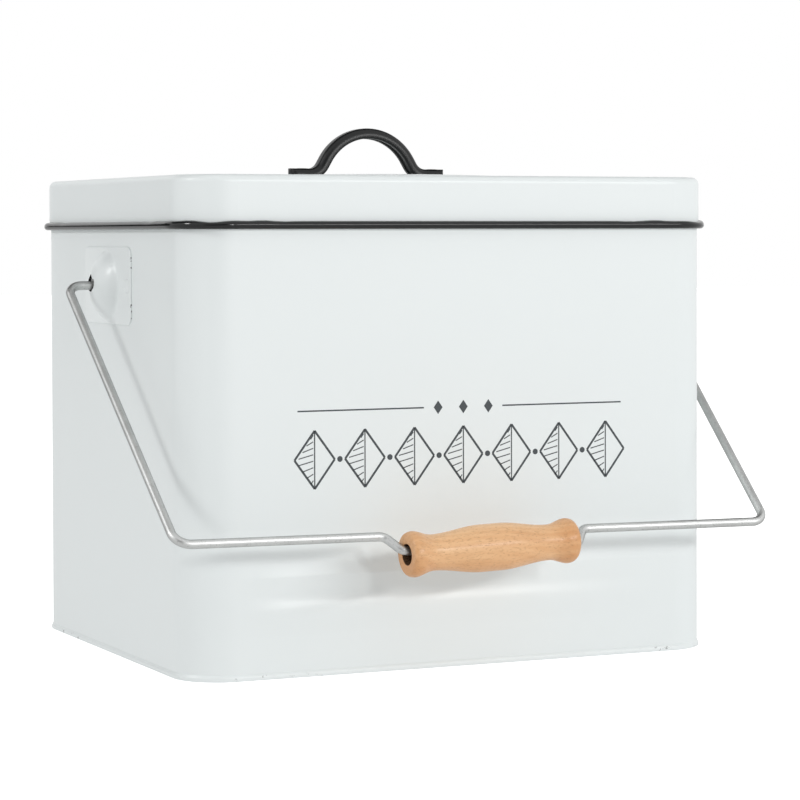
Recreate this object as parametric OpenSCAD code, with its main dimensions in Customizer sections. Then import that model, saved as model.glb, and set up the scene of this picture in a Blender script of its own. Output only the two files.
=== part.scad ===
// Countertop compost caddy: a rounded sheet-steel bin with a deep hinged lid, a rolled black
// edging, a pressed strap handle, a swinging wire bail with a turned wooden grip, a lift-out
// liner and an odour filter under the lid.
// Millimetres, +Z up, the front is -Y. The origin is the middle of the bin on its resting face.

/* [Body] */
// Width of the bin across its front
body_width = 240; // [210:1:300]
// Depth of the bin from front to back
body_depth = 200; // [170:1:260]
// Height from the resting face to the lid's lower edge
wall_height = 181.4; // [150:0.2:240]
// Outer radius of the four upright corners
corner_radius = 20.5; // [14:0.5:36]
// Thickness of the body's steel sheet
body_sheet = 0.5; // [0.4:0.05:0.8]
// How far the neck under the lid is drawn in
neck_inset = 1.55; // [1.4:0.05:2.2]
// Diameter of the rolled hem round the mouth
mouth_hem = 1.6; // [1.2:0.1:2]

/* [Base] */
// Height of the seam that joins the base to the wall
seam_height = 3.2; // [2.6:0.1:5]
// Thickness of the seam outside the wall
seam_proud = 0.7; // [0.5:0.05:1.2]
// Thickness of the base's steel sheet
base_sheet = 0.5; // [0.4:0.05:0.8]

/* [Swaged ribs] */
// Height of the lower rib's middle above the resting face
rib_low = 29.8; // [20:0.2:40]
// Distance between the middles of the two ribs
rib_pitch = 12.8; // [10:0.2:18]
// Height of one rib
rib_height = 7; // [5:0.5:9]
// How far a rib stands out of the wall
rib_rise = 0.7; // [0.4:0.1:1.2]
// How far a rib runs on round each corner, in degrees
rib_turn = 28; // [10:1:40]

/* [Lid] */
// Depth of the lid's skirt
lid_height = 21.8; // [18:0.2:28]
// Thickness of the lid's steel sheet
lid_sheet = 0.45; // [0.4:0.05:0.8]
// Clearance between the lid's skirt and the wall's outer face
lid_gap = 0.25; // [0.2:0.05:0.5]
// Radius of the lid's top edge
lid_fillet = 3; // [2:0.5:5]
// How far the middle of the lid is crowned
crown_rise = 2.2; // [1:0.1:3]
// Radius of the crowned middle of the lid
crown_radius = 88; // [70:1:90]
// Diameter of the rolled edging round the skirt
edging_diameter = 3.2; // [2.6:0.1:4]
// Diameter of a vent hole
vent_diameter = 3; // [2:0.5:4]
// Vent holes in each of the two rings
vent_count = 20; // [10:1:24]
// Radius of the inner ring of vent holes
vent_ring = 40.5; // [39:0.5:42]

/* [Lid handle] */
// Length of the strap handle over both feet
strap_length = 73.4; // [66:0.2:84]
// Width of the strap
strap_width = 8.6; // [7.6:0.1:12]
// Height of the strap's bow above the crown
strap_height = 20.6; // [18:0.2:26]
// Depth of the strap's channel section
strap_depth = 4.6; // [4:0.1:5.5]
// Thickness of the strap's steel
strap_sheet = 1.1; // [0.8:0.1:1.4]
// Height of a foot
strap_foot = 2.6; // [2.2:0.1:3.6]
// Outer radius of the bow
strap_bow = 25.4; // [24:0.2:28]

/* [Ears] */
// Height of the bail's pivot above the resting face
pivot_height = 157.4; // [130:0.2:165]
// How far behind the middle the ears are set
pivot_back = 1; // [-10:0.5:10]
// Length of an ear plate from front to back
ear_length = 62; // [56:1:72]
// Height of an ear plate
ear_height = 33; // [30:1:40]
// Corner radius of an ear plate
ear_corner = 4.5; // [3:0.5:8]
// Thickness of an ear plate
ear_sheet = 0.6; // [0.5:0.1:1]
// Diameter of the dome's foot
dome_diameter = 30; // [26:0.5:31]
// Height of the dome above the plate
dome_height = 7.6; // [7:0.2:10]
// Diameter of the wire hole in the dome
dome_hole = 4.7; // [4.4:0.1:5.5]
// Distance of an ear's rivets from the pivot
ear_rivet_reach = 23.5; // [21:0.5:26]

/* [Bail] */
// Diameter of the bail's wire
wire_diameter = 3.7; // [3:0.1:4]
// Distance from the pivot to the crossbar
bail_reach = 160.5; // [150:0.5:200]
// Distance from the pivot hole's mouth to the arm, along the pivot
bail_standoff = 10.2; // [8:0.2:14]
// How far each arm closes in on its way to the crossbar
bail_taper = 6.3; // [0:0.1:10]
// Bend radius at the crossbar's ends
bail_bend = 7; // [5:0.5:12]
// Bend radius at the ears
ear_bend = 4.5; // [3:0.5:6]
// Sideways lean of the hand-bent crossbar, in degrees
bail_lean = 0.8; // [0:0.1:1.5]
// How far the crossbar steps out at the grip
jog_depth = 8.6; // [4:0.2:12]
// Slant of the step, from the crossbar
jog_slant = 58; // [40:1:65]
// Angle between the hanging bail and straight down
bail_rest = 51.6; // [45:0.1:80]

/* [Grip] */
// Length of the wooden grip
grip_length = 76; // [60:1:100]
// Diameter of the grip's belly
grip_belly = 19.2; // [16:0.2:24]
// Diameter of the grip's flared ends
grip_flare = 18.5; // [15:0.5:24]
// Diameter of the grip's necks
grip_neck = 15; // [13:0.5:18]
// Distance from the grip's end to its neck
grip_neck_reach = 14; // [10:0.5:18]
// Bore through the grip
grip_bore = 8.2; // [7.6:0.1:9]
// Slant of the loose grip on the wire, in degrees
grip_tilt = 2.2; // [0:0.1:2.4]

/* [Hinges] */
// Distance of each hinge from the bin's nearer side
hinge_inset = 50; // [40:1:70]
// Width of one hinge
hinge_width = 30; // [24:1:40]
// Diameter of the hinge pin
pin_diameter = 2; // [1.6:0.1:2.4]
// Radial clearance of the pin in the lid's knuckle
pin_clearance = 0.06; // [0.03:0.01:0.1]
// Outer diameter of a knuckle
knuckle_diameter = 5; // [4.4:0.1:6]
// Height of the leaf on the body
body_leaf_height = 20; // [16:0.5:26]
// Height of the leaf on the lid
lid_leaf_height = 12; // [11:0.5:15]
// Thickness of a leaf
leaf_sheet = 0.8; // [0.6:0.1:1]
// Angle at which the lid leaf's lip meets the body leaf
hinge_stop = 106; // [95:1:115]

/* [Liner] */
// Clearance between the liner's rim and the mouth, on each side
liner_gap = 1.4; // [1:0.1:4]
// How far the liner's rim stands out of its wall
liner_rim = 2.5; // [1.5:0.1:4]
// Height of the liner's rim above its foot
liner_height = 168; // [130:1:172]
// Wall thickness of the liner
liner_wall = 1.8; // [1.2:0.1:2.5]

/* [Filter] */
// Outer diameter of the filter holder
holder_diameter = 106; // [104:1:120]
// Depth of the filter holder below the lid
holder_depth = 11; // [9:0.5:14]
// Wall thickness of the filter holder
holder_wall = 2; // [1.6:0.1:2.6]
// Thickness of the charcoal pad
pad_thickness = 5; // [3:0.5:6]
// Thickness of the grille that holds the pad
grille_thickness = 1.8; // [1.4:0.1:2.4]

/* [Hidden] */
$fn = 64;

white = [0.90, 0.92, 0.92];
black = [0.13, 0.13, 0.14];
steel = [0.62, 0.63, 0.63];
beech = [0.87, 0.67, 0.46];
grey_plastic = [0.72, 0.74, 0.75];
charcoal = [0.10, 0.10, 0.11];

eps = 0.01;          // overlap of a cutter past the face it opens
contact_gap = 0.3;   // space between pieces that come close without touching

// Body and lid levels
mouth_inner = neck_inset + mouth_hem;
lid_outset = lid_gap + lid_sheet;
lid_top = wall_height + lid_height;
lid_under = lid_top - lid_sheet;
crown_top = lid_top + crown_rise;
crown_ball = (crown_radius * crown_radius + crown_rise * crown_rise) / (2 * crown_rise);
mouth_height = lid_under - contact_gap;
shoulder_start = wall_height - contact_gap;
floor_top = seam_height + base_sheet;
rib_ball = rib_height * rib_height / (8 * rib_rise) + rib_rise / 2;
edging_centre = lid_outset + edging_diameter / 4;

// Ears and bail
dome_ball = (dome_diameter * dome_diameter / 4 + dome_height * dome_height) / (2 * dome_height);
dome_sheet = 0.8;
dome_apex = body_width / 2 + ear_sheet + dome_height;
rivet_shank = 3.2;
rivet_head = 5.6;
rivet_rise = 0.5;
bail_half_top = dome_apex + bail_standoff;
bail_half_bottom = bail_half_top - bail_taper;
bail_head = 6.4;
bail_head_depth = 1.5;
bail_end = dome_apex - dome_sheet - contact_gap - bail_head_depth;
bend_thinning = 0.02;
bend_lap = 0.05;
jog_run = jog_depth / tan(jog_slant);
jog_bend = 4.5;
jog_inner = grip_length / 2 + jog_bend * tan(jog_slant / 2) - 1;
jog_outer = jog_inner + jog_run;

// Hinges
hinge_reach = body_width / 2 - hinge_inset;
knuckle_clear = 0.45;    // space between the lid's skirt and the knuckles
hinge_axis_rise = 0.4;   // height of the hinge axis above the lid's lower edge
hinge_axis_y = body_depth / 2 + lid_outset + knuckle_diameter / 2 + knuckle_clear;
hinge_axis_z = wall_height + hinge_axis_rise;
knuckle_share = 0.4;
lid_knuckle = hinge_width * knuckle_share;
knuckle_space = 0.25;
body_knuckle = (hinge_width - lid_knuckle) / 2 - knuckle_space;
leaf_rivet_reach = hinge_width * 0.32;
leaf_rivet_head = 4.4;
leaf_rivet_shank = 2.4;
body_leaf_rivet = hinge_axis_z - knuckle_diameter / 2 - body_leaf_height * 0.62;
lid_leaf_clear = 0.8;    // space between the body's knuckles and the lid's leaf
lid_leaf_bottom = hinge_axis_z + knuckle_diameter / 2 + lid_leaf_clear;
lid_leaf_rivet = lid_leaf_bottom + lid_leaf_height * 0.6;
edging_break = hinge_width + 3;

// Liner and filter
liner_width = body_width - 2 * (mouth_inner + liner_gap + liner_rim);
liner_depth = body_depth - 2 * (mouth_inner + liner_gap + liner_rim);
liner_corner = corner_radius - mouth_inner - liner_gap - liner_rim;
lug_width = 46;
lug_rise = 16;
lug_thickness = 3;
holder_bottom = lid_under - holder_depth;
holder_inner = holder_diameter / 2 - holder_wall;
leg_slope = 60;
leg_bite = 0.02;         // how far a leg's line cuts into the bow's circle
strap_rivet_inset = 5.4;
strap_rivet_head = 6;
strap_rivet_rise = 0.2;
strap_rivet_reach = strap_length / 2 - strap_rivet_inset;
strap_corner = 3;
strap_sunk = 1;          // how far the strap's blank runs on below the crown's middle
vent_ring_step = vent_diameter + 2.2;
holder_roof = 2;
holder_clear = 0.02;     // space between the holder's rim and the crown's underside
holder_top = crown_top - crown_ball - holder_clear
    + sqrt(pow(crown_ball - lid_sheet, 2) - pow(holder_diameter / 2, 2));

// A rectangle with round corners, as an outline.
module rounded_rectangle(width, depth, radius) {
    square([width - 2 * radius, depth], center = true);
    square([width, depth - 2 * radius], center = true);
    for (x = [-1, 1], y = [-1, 1])
        translate([x * (width / 2 - radius), y * (depth / 2 - radius)]) circle(radius);
}

// Carries a section round a rounded rectangle. The section's x is measured outwards from the
// rectangle's outline and its y is the height.
module carried_round(width, depth, radius) {
    for (turn = [0, 1, 2, 3]) {
        along = turn % 2 == 0 ? depth : width;
        across = turn % 2 == 0 ? width : depth;
        rotate([0, 0, 90 * turn]) {
            translate([across / 2, along / 2 - radius, 0])
                rotate([90, 0, 0]) linear_extrude(along - 2 * radius) children();
            translate([across / 2 - radius, along / 2 - radius, 0])
                rotate_extrude(angle = 90) translate([radius, 0]) children();
        }
    }
}

// Rivet with its head's seat at z = 0, its shank below it and a tail that closes the grip.
module rivet(head, rise, shank, grip, tail) {
    head_ball = head * head / (8 * rise) + rise / 2;
    intersection() {
        translate([0, 0, rise - head_ball]) sphere(head_ball, $fn = 96);
        cylinder(d = head, h = rise + eps);
    }
    translate([0, 0, -grip]) cylinder(d = shank, h = grip);
    translate([0, 0, -grip - tail]) cylinder(d = head * 0.85, h = tail);
}

// Places children on the left or right wall, with z pointing out of the wall at the pivot.
module on_side(side) {
    translate([side * body_width / 2, pivot_back, pivot_height]) rotate([0, side * 90, 0]) children();
}

// Places children on the back wall, with z pointing out of it.
module on_back(x, height, out) {
    translate([x, body_depth / 2 + out, height]) rotate([-90, 0, 0]) children();
}

// ---------------------------------------------------------------- body

// Section of a rib, with x measured out from the wall: a slice of a circle, taken back from the
// rib's face by the inset, that dips into the wall by the given depth.
module rib_section(inset, dip) {
    intersection() {
        translate([rib_rise - rib_ball, 0]) circle(rib_ball - inset, $fn = 128);
        translate([-dip, -rib_height]) square([dip + 2 * rib_rise, 2 * rib_height]);
    }
}

// One swaged rib across the front wall, run on round both corners to a round end. The outer
// form has no inset, and the groove behind it is taken back by the sheet's thickness.
module rib_solid(height, inset, dip) {
    straight = body_width - 2 * corner_radius;
    translate([0, 0, height]) {
        translate([-straight / 2, -body_depth / 2, 0]) rotate([90, 0, 90])
            linear_extrude(straight) mirror([1, 0, 0]) rib_section(inset, dip);
        for (side = [-1, 1])
            translate([side * straight / 2, corner_radius - body_depth / 2, 0]) {
                rotate([0, 0, side > 0 ? -90 : -90 - rib_turn])
                    rotate_extrude(angle = rib_turn, $fn = 128)
                        translate([corner_radius, 0]) rib_section(inset, dip);
                rotate([0, 0, side * rib_turn]) translate([0, -corner_radius, 0])
                    rotate([90, side > 0 ? -90 : 90, 0]) rotate_extrude(angle = 180, $fn = 96)
                        intersection() {
                            rotate(90) rib_section(inset, dip);
                            square(4 * rib_height, center = false);
                        }
            }
    }
}

module ribs(inset, dip) {
    for (row = [0, 1], turn = [0, 180])
        rotate([0, 0, turn]) rib_solid(rib_low + row * rib_pitch, inset, dip);
}

module neck_section() {
    miter = body_sheet * tan(22.5);
    top = shoulder_start + neck_inset;
    polygon([
        [0, shoulder_start], [-neck_inset, top], [-neck_inset, mouth_height - mouth_hem / 2],
        [-neck_inset - body_sheet, mouth_height - mouth_hem / 2],
        [-neck_inset - body_sheet, top - miter], [-body_sheet, shoulder_start - miter]
    ]);
    translate([-neck_inset - mouth_hem / 2, mouth_height - mouth_hem / 2])
        circle(d = mouth_hem, $fn = 32);
}

module body_shell() {
    seam_width = 7;
    seam_rise = 0.8;
    seam_clear = 1;
    seam_length = shoulder_start - seam_height - 4 * seam_clear;
    inner_width = body_width - 2 * body_sheet;
    inner_depth = body_depth - 2 * body_sheet;
    color(white) difference() {
        union() {
            translate([0, 0, base_sheet])
                linear_extrude(shoulder_start - base_sheet)
                    rounded_rectangle(body_width, body_depth, corner_radius);
            ribs(0, body_sheet / 2);
            translate([-seam_width / 2, body_depth / 2 - eps, seam_height + seam_clear])
                cube([seam_width, seam_rise + eps, seam_length]);
        }
        linear_extrude(wall_height)
            rounded_rectangle(inner_width, inner_depth, corner_radius - body_sheet);
        ribs(body_sheet, 2 * body_sheet);
        for (side = [-1, 1], fore = [-1, 1])
            on_side(side) translate([0, fore * ear_rivet_reach, -2])
                cylinder(d = rivet_shank, h = 4);
        for (side = [-1, 1], end = [-1, 1])
            on_back(side * hinge_reach + end * leaf_rivet_reach, body_leaf_rivet, -2)
                cylinder(d = leaf_rivet_shank, h = 4);
    }
    color(white) carried_round(body_width, body_depth, corner_radius) neck_section();
}

module bottom_pan() {
    inner = -body_sheet - base_sheet;
    color(white) {
        carried_round(body_width, body_depth, corner_radius) {
            translate([inner, 0]) square([seam_proud - inner, base_sheet]);
            translate([inner, 0]) square([base_sheet, floor_top]);
            square([seam_proud, seam_height - seam_proud / 2]);
            translate([seam_proud / 2, seam_height - seam_proud / 2]) circle(d = seam_proud, $fn = 24);
        }
        translate([0, 0, floor_top - base_sheet]) linear_extrude(base_sheet)
            rounded_rectangle(body_width + 2 * inner, body_depth + 2 * inner, corner_radius + inner);
    }
}

module inner_bucket() {
    rim_width = liner_width + 2 * liner_rim;
    rim_depth = liner_depth + 2 * liner_rim;
    rim_top = floor_top + liner_height;
    bore_width = liner_width - 2 * liner_wall;
    bore_depth = liner_depth - 2 * liner_wall;
    lug_corner = 5;
    color(grey_plastic) {
        difference() {
            union() {
                translate([0, 0, floor_top]) linear_extrude(liner_height)
                    rounded_rectangle(liner_width, liner_depth, liner_corner);
                translate([0, 0, rim_top - liner_wall]) linear_extrude(liner_wall)
                    rounded_rectangle(rim_width, rim_depth, liner_corner + liner_rim);
            }
            translate([0, 0, floor_top + liner_wall]) linear_extrude(liner_height)
                rounded_rectangle(bore_width, bore_depth, liner_corner - liner_wall);
        }
        for (side = [-1, 1])
            translate([side * (rim_width / 2 - lug_thickness / 2), 0, rim_top])
                rotate([90, 0, 90]) linear_extrude(lug_thickness, center = true) difference() {
                    translate([0, lug_rise / 2 - lug_thickness])
                        rounded_rectangle(lug_width, lug_rise + 2 * lug_thickness, lug_corner);
                    translate([-lug_width, -2 * lug_rise - eps]) square([2 * lug_width, 2 * lug_rise]);
                }
    }
}

// ---------------------------------------------------------------- ears

module ear_plate(side) {
    sunk = ear_sheet + dome_height - dome_ball;
    color(white) on_side(side) difference() {
        union() {
            linear_extrude(ear_sheet) rounded_rectangle(ear_height, ear_length, ear_corner);
            intersection() {
                translate([0, 0, sunk]) sphere(dome_ball, $fn = 128);
                cylinder(d = dome_diameter + 4, h = dome_height + 4);
            }
        }
        translate([0, 0, sunk]) sphere(dome_ball - dome_sheet, $fn = 128);
        cylinder(d = dome_hole, h = dome_height + 4);
        for (fore = [-1, 1])
            translate([0, fore * ear_rivet_reach, -1]) cylinder(d = rivet_shank, h = 4);
    }
}

module ear_rivets(side) {
    color(white) for (fore = [-1, 1])
        on_side(side) translate([0, fore * ear_rivet_reach, ear_sheet])
            rivet(rivet_head, rivet_rise, rivet_shank, ear_sheet + body_sheet, 0.8);
}

// ---------------------------------------------------------------- hinges

// Section of the body's leaf: x is measured out from the wall and y is the height.
module body_leaf_section() {
    axis_out = hinge_axis_y - body_depth / 2;
    knee = hinge_axis_z - knuckle_diameter / 2 - 1;
    polygon([
        [0, knee - body_leaf_height + 3], [leaf_sheet, knee - body_leaf_height + 3],
        [leaf_sheet, knee - 1],
        [axis_out + 0.2, hinge_axis_z - knuckle_diameter / 2 + 0.1],
        [axis_out - knuckle_diameter / 2 + 0.1, hinge_axis_z], [0.05, knee]
    ]);
}

// Turns a section with x out from the wall and y up into a solid across the back wall.
module across_back(x, width) {
    translate([x + width / 2, body_depth / 2, 0]) rotate([90, 0, -90])
        mirror([1, 0, 0]) linear_extrude(width) children();
}

module hinge_leaf_body(side) {
    middle = side * hinge_reach;
    axis_out = hinge_axis_y - body_depth / 2;
    knuckle_middle = (lid_knuckle + body_knuckle) / 2 + knuckle_space;
    color(black) difference() {
        union() {
            difference() {
                across_back(middle, hinge_width) body_leaf_section();
                translate([middle - lid_knuckle / 2 - knuckle_space, body_depth / 2 - 1,
                        hinge_axis_z - knuckle_diameter / 2 - 1.4])
                    cube([lid_knuckle + 2 * knuckle_space, 10, 10]);
            }
            for (end = [-1, 1])
                across_back(middle + end * knuckle_middle, body_knuckle)
                    translate([axis_out, hinge_axis_z]) circle(d = knuckle_diameter, $fn = 48);
        }
        translate([middle, hinge_axis_y, hinge_axis_z]) rotate([0, 90, 0])
            cylinder(d = pin_diameter, h = hinge_width + 2, center = true);
        for (end = [-1, 1])
            on_back(middle + end * leaf_rivet_reach, body_leaf_rivet, -1)
                cylinder(d = leaf_rivet_shank, h = 4);
    }
}

// The lid's leaf lies on the skirt, comes down to the middle knuckle and ends in a short lip
// that meets the body's leaf when the lid is fully open.
module hinge_leaf_lid(side) {
    middle = side * hinge_reach;
    axis_out = hinge_axis_y - body_depth / 2;
    lip_angle = hinge_stop - 126;
    lip_length = knuckle_diameter / 2 + 2;
    color(black) difference() {
        union() {
            across_back(middle, hinge_width)
                translate([lid_outset, lid_leaf_bottom]) square([leaf_sheet, lid_leaf_height]);
            across_back(middle, lid_knuckle) {
                polygon([
                    [lid_outset, lid_leaf_bottom + 1], [lid_outset, hinge_axis_z + 1],
                    [axis_out - knuckle_diameter / 2 + 0.2, hinge_axis_z + 0.6],
                    [axis_out, hinge_axis_z + knuckle_diameter / 2 - 0.1],
                    [lid_outset + leaf_sheet, lid_leaf_bottom + 1]
                ]);
                translate([axis_out, hinge_axis_z]) {
                    circle(d = knuckle_diameter, $fn = 48);
                    rotate(lip_angle) translate([0, -leaf_sheet / 2]) square([lip_length, leaf_sheet]);
                }
            }
        }
        translate([middle, hinge_axis_y, hinge_axis_z]) rotate([0, 90, 0])
            cylinder(d = pin_diameter + 2 * pin_clearance, h = hinge_width + 2, center = true);
        for (end = [-1, 1])
            on_back(middle + end * leaf_rivet_reach, lid_leaf_rivet, -1)
                cylinder(d = leaf_rivet_shank, h = 4);
    }
}

module hinge_pin(side) {
    head = pin_diameter + 1.4;
    color(steel) translate([side * hinge_reach, hinge_axis_y, hinge_axis_z]) rotate([0, 90, 0]) {
        cylinder(d = pin_diameter, h = hinge_width - 2 * knuckle_space, center = true);
        for (end = [-1, 1])
            translate([0, 0, end * (hinge_width / 2 - knuckle_space + 0.4)])
                cylinder(d = head, h = 0.8, center = true);
    }
}

module hinge_rivets(height, seat, wall) {
    color(steel) for (side = [-1, 1], end = [-1, 1])
        on_back(side * hinge_reach + end * leaf_rivet_reach, height, seat + leaf_sheet)
            rivet(leaf_rivet_head, 1, leaf_rivet_shank, leaf_sheet + wall, 0.6);
}

module hinge_rivets_body() { hinge_rivets(body_leaf_rivet, 0, body_sheet); }
module hinge_rivets_lid() { hinge_rivets(lid_leaf_rivet, lid_outset, lid_sheet); }

// ---------------------------------------------------------------- lid

// The ball whose cap is the crown, grown inwards by a thickness.
module crown_cap(inset) {
    rotate_extrude($fn = 128) intersection() {
        translate([0, crown_top - crown_ball]) circle(crown_ball - inset, $fn = 2400);
        translate([0, lid_top - 2 * inset - 1]) square([crown_radius, crown_rise + 2 * inset + 2]);
    }
}

module vent_holes(top) {
    for (ring = [0, 1], i = [0:vent_count - 1])
        rotate([0, 0, 360 * (i + 0.5 * (ring + 1)) / vent_count])
            translate([vent_ring + ring * vent_ring_step, 0, top - holder_depth])
                cylinder(d = vent_diameter, h = holder_depth + crown_rise + 2, $fn = 24);
}

module strap_rivet_holes(diameter) {
    for (side = [-1, 1])
        translate([side * strap_rivet_reach, 0, holder_bottom])
            cylinder(d = diameter, h = holder_depth + 12);
}

module lid_shell() {
    width = body_width + 2 * lid_outset;
    depth = body_depth + 2 * lid_outset;
    radius = corner_radius + lid_outset;
    color(white) difference() {
        union() {
            carried_round(width, depth, radius) {
                translate([-lid_sheet, wall_height]) square([lid_sheet, lid_height - lid_fillet]);
                translate([-lid_fillet, lid_top - lid_fillet]) intersection() {
                    difference() {
                        circle(lid_fillet, $fn = 48);
                        circle(lid_fillet - lid_sheet, $fn = 48);
                    }
                    square(lid_fillet);
                }
            }
            translate([0, 0, lid_under]) linear_extrude(lid_sheet)
                rounded_rectangle(width - 2 * lid_fillet, depth - 2 * lid_fillet, radius - lid_fillet);
            intersection() {
                crown_cap(0);
                translate([0, 0, lid_under]) cylinder(r = crown_radius, h = crown_rise + lid_sheet + 1);
            }
        }
        crown_cap(lid_sheet);
        vent_holes(lid_under);
        strap_rivet_holes(rivet_shank);
        for (side = [-1, 1], end = [-1, 1])
            on_back(side * hinge_reach + end * leaf_rivet_reach, lid_leaf_rivet, -1)
                cylinder(d = leaf_rivet_shank, h = 4);
    }
}

module lid_edging() {
    color(black) difference() {
        carried_round(body_width + 2 * lid_outset, body_depth + 2 * lid_outset,
            corner_radius + lid_outset)
            translate([edging_centre - lid_outset, wall_height + edging_diameter / 2]) intersection() {
                circle(d = edging_diameter, $fn = 48);
                translate([lid_outset - edging_centre, -edging_diameter]) square(2 * edging_diameter);
            }
        for (side = [-1, 1])
            translate([side * hinge_reach, body_depth / 2 + 4, wall_height])
                cube([edging_break, 10, 4 * edging_diameter], center = true);
    }
}

// A bow and two straight legs seen from the side, as a solid of the given width. The bow is the
// part of a disc above a level, and each leg leaves it along its tangent down to another level.
// Feet run out to their own length at their own height.
module strap_form(bow, level, foot_top, foot_end, width) {
    centre = strap_height - strap_bow;
    leaving = bow - leg_bite;
    tangent = [leaving * sin(leg_slope), centre + leaving * cos(leg_slope)];
    heel = tangent[0] + (tangent[1] - foot_top) / tan(leg_slope);
    end = max(heel, foot_end);
    linear_extrude(width, center = true) intersection() {
        translate([0, centre]) circle(bow, $fn = 160);
        translate([-bow - 1, level]) square(2 * bow + 2);
    }
    linear_extrude(width, center = true) polygon([
        tangent, [heel, foot_top], [end + eps, foot_top], [end + eps, level],
        [-end - eps, level], [-end - eps, foot_top], [-heel, foot_top], [-tangent[0], tangent[1]]
    ]);
}

module lid_handle() {
    foot_end = strap_length / 2;
    wider = strap_width + 2;
    color(black) difference() {
        intersection() {
            translate([0, 0, crown_top]) rotate([90, 0, 0]) difference() {
                strap_form(strap_bow, -strap_sunk, strap_foot, foot_end, strap_width);
                strap_form(strap_bow - strap_depth, -2 * strap_sunk, -1.5 * strap_sunk, 0, wider);
            }
            translate([0, 0, lid_top]) linear_extrude(strap_height + crown_rise + 1)
                rounded_rectangle(strap_length, strap_width, strap_corner);
        }
        translate([0, 0, crown_top]) rotate([90, 0, 0])
            strap_form(strap_bow - strap_sheet, -2 * strap_sunk, strap_foot - strap_sheet,
                foot_end - strap_sheet, strap_width - 2 * strap_sheet);
        crown_cap(0);
        strap_rivet_holes(rivet_shank);
    }
}

module handle_rivets() {
    seat = strap_foot + crown_top;
    color(black) for (side = [-1, 1])
        translate([side * strap_rivet_reach, 0, seat])
            rivet(strap_rivet_head, strap_rivet_rise, rivet_shank,
                seat - lid_under + holder_roof, 0.9);
}

// ---------------------------------------------------------------- odour filter

module filter_holder() {
    outer = holder_diameter / 2;
    roof_under = lid_under - holder_roof;
    color(charcoal) difference() {
        union() {
            translate([0, 0, roof_under]) cylinder(r = outer, h = holder_top - roof_under, $fn = 128);
            translate([0, 0, holder_bottom]) difference() {
                cylinder(r = outer, h = roof_under - holder_bottom, $fn = 128);
                translate([0, 0, -1]) cylinder(r = holder_inner, h = holder_depth, $fn = 128);
            }
        }
        vent_holes(lid_under);
        strap_rivet_holes(rivet_shank);
    }
}

module charcoal_pad() {
    top = lid_under - holder_roof - 1.2;
    color(black) translate([0, 0, top - pad_thickness])
        cylinder(r = holder_inner - contact_gap, h = pad_thickness, $fn = 96);
}

module filter_grille() {
    bars = 9;
    bar_width = 2.2;
    hoop = 4;
    radius = holder_inner - 0.02;
    color(charcoal) translate([0, 0, holder_bottom]) {
        difference() {
            cylinder(r = radius, h = grille_thickness, $fn = 128);
            translate([0, 0, -1]) cylinder(r = radius - hoop, h = grille_thickness + 2, $fn = 128);
        }
        intersection() {
            cylinder(r = radius - hoop / 2, h = grille_thickness, $fn = 128);
            for (i = [0:bars - 1])
                translate([(i - (bars - 1) / 2) * 2 * radius / bars - bar_width / 2, -radius, 0])
                    cube([bar_width, 2 * radius, grille_thickness]);
        }
    }
}

// ---------------------------------------------------------------- bail

// Point of the crossbar, turned by the lean about the middle of the pivot.
function leaned(x, reach) = [
    x * cos(bail_lean) - reach * sin(bail_lean),
    -(x * sin(bail_lean) + reach * cos(bail_lean))
];

// A round wire bent along points in the XY plane, each bend with its own radius. A bend is a
// hair thinner than the straights, which run a little way into it.
module bent_wire(points, bends, diameter) {
    last = len(points) - 1;
    directions = [for (i = [0:last - 1])
        (points[i + 1] - points[i]) / norm(points[i + 1] - points[i])];
    headings = [for (d = directions) atan2(d[1], d[0])];
    turns = [for (i = [1:last - 1]) ((headings[i] - headings[i - 1] + 540) % 360) - 180];
    trims = [for (i = [0:last]) i == 0 || i == last ? 0 : bends[i] * tan(abs(turns[i - 1]) / 2)];
    for (i = [0:last - 1]) {
        into = [i == 0 ? 0 : bend_lap, i == last - 1 ? 0 : bend_lap];
        start = points[i] + (trims[i] - into[0]) * directions[i];
        length = norm(points[i + 1] - points[i]) - trims[i] - trims[i + 1] + into[0] + into[1];
        translate(start) rotate([0, 0, headings[i]]) rotate([0, 90, 0])
            cylinder(d = diameter, h = length, $fn = 32);
    }
    for (i = [1:last - 1]) {
        side = sign(turns[i - 1]);
        entry = points[i] - trims[i] * directions[i - 1];
        normal = side * [-directions[i - 1][1], directions[i - 1][0]];
        translate(entry + bends[i] * normal)
            rotate([0, 0, side > 0 ? headings[i - 1] - 90 : headings[i] + 90])
                rotate_extrude(angle = abs(turns[i - 1]), $fn = 64)
                    translate([bends[i], 0]) circle(d = diameter - bend_thinning, $fn = 32);
    }
}

// Places children in the bail's own plane: x across, -y from the pivot to the crossbar.
module in_bail_plane() {
    translate([0, pivot_back, pivot_height]) rotate([90 - bail_rest, 0, 0]) children();
}

module bail_wire() {
    path = [
        [-bail_end, 0], [-bail_half_top, 0],
        leaned(-bail_half_bottom, bail_reach), leaned(-jog_outer, bail_reach),
        leaned(-jog_inner, bail_reach + jog_depth), leaned(jog_inner, bail_reach + jog_depth),
        leaned(jog_outer, bail_reach), leaned(bail_half_bottom, bail_reach),
        [bail_half_top, 0], [bail_end, 0]
    ];
    bends = [0, ear_bend, bail_bend, jog_bend, jog_bend, jog_bend, jog_bend, bail_bend, ear_bend, 0];
    color(steel) in_bail_plane() {
        bent_wire(path, bends, wire_diameter);
        for (side = [-1, 1])
            translate([side * (bail_end + bail_head_depth / 2), 0, 0]) rotate([0, 90, 0])
                cylinder(d = bail_head, h = bail_head_depth, center = true, $fn = 32);
    }
}

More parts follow.
